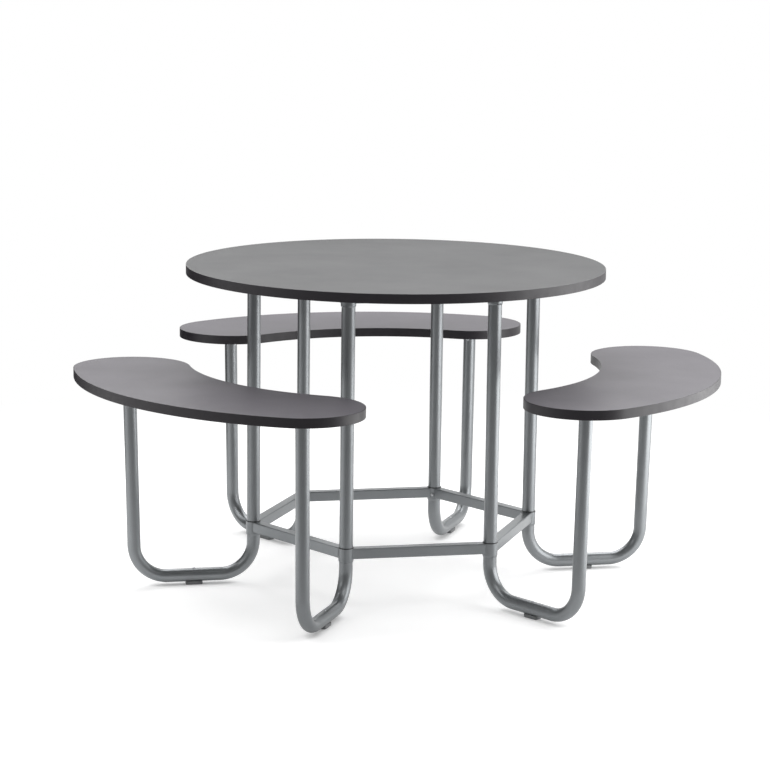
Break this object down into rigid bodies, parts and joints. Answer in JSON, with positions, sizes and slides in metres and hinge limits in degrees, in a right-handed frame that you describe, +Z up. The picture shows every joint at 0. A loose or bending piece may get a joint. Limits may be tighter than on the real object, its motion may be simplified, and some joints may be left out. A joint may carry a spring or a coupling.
{
  "type": "poseur table with benches",
  "caption": "Round raised table on a hexagon of tubular legs, with curved bean-shaped benches carried by U-shaped leg tubes.",
  "frame": {"origin": "floor level on the vertical axis through the middle of the round table top", "axes": "+Z up; -Y towards the viewer's side, between two benches; bench 1 lies towards +Y"},
  "size_m": [1.847, 1.7559, 0.92],
  "materials": {
    "core": "raw chipboard",
    "table_laminate": "matte grey decorative laminate",
    "bench_laminate": "matte grey decorative laminate with a purple cast",
    "backing": "plain dark backing sheet",
    "edge_band": "dark purplish grey, semi-gloss",
    "tube_paint": "silver grey metallic powder coat, satin",
    "frame_paint": "silver grey metallic powder coat, satin",
    "black_plastic": "black, moulded",
    "glide_plastic": "dark grey, moulded",
    "screw_steel": "zinc plated"
  },
  "bodies": {
    "root": {"table_core": "core", "table_laminate": "table_laminate", "table_backing": "backing", "table_edge_band": "edge_band", "bench_1_core": "core", "bench_1_laminate": "bench_laminate", "bench_1_backing": "backing", "bench_1_edge_band": "edge_band", "bench_2_core": "core", "bench_2_laminate": "bench_laminate", "bench_2_backing": "backing", "bench_2_edge_band": "edge_band", "bench_3_core": "core", "bench_3_laminate": "bench_laminate", "bench_3_backing": "backing", "bench_3_edge_band": "edge_band", "table_leg_1": "tube_paint", "table_leg_2": "tube_paint", "table_leg_3": "tube_paint", "table_leg_4": "tube_paint", "table_leg_5": "tube_paint", "table_leg_6": "tube_paint", "u_leg_1": "tube_paint", "u_leg_2": "tube_paint", "u_leg_3": "tube_paint", "u_leg_4": "tube_paint", "u_leg_5": "tube_paint", "u_leg_6": "tube_paint", "ring_sleeve_1": "frame_paint", "ring_sleeve_2": "frame_paint", "ring_sleeve_3": "frame_paint", "ring_sleeve_4": "frame_paint", "ring_sleeve_5": "frame_paint", "ring_sleeve_6": "frame_paint", "ring_rail_1": "frame_paint", "ring_rail_2": "frame_paint", "ring_rail_3": "frame_paint", "ring_rail_4": "frame_paint", "ring_rail_5": "frame_paint", "ring_rail_6": "frame_paint", "top_sleeve_1": "frame_paint", "top_sleeve_2": "frame_paint", "top_sleeve_3": "frame_paint", "top_sleeve_4": "frame_paint", "top_sleeve_5": "frame_paint", "top_sleeve_6": "frame_paint", "bench_socket_1": "frame_paint", "bench_socket_2": "frame_paint", "bench_socket_3": "frame_paint", "bench_socket_4": "frame_paint", "bench_socket_5": "frame_paint", "bench_socket_6": "frame_paint", "top_rails": "frame_paint", "joint_rings": "black_plastic", "glides": "glide_plastic", "sleeve_screws": "screw_steel", "glide_screws": "screw_steel", "panel_screws": "screw_steel"}
  },
  "joints": []
}
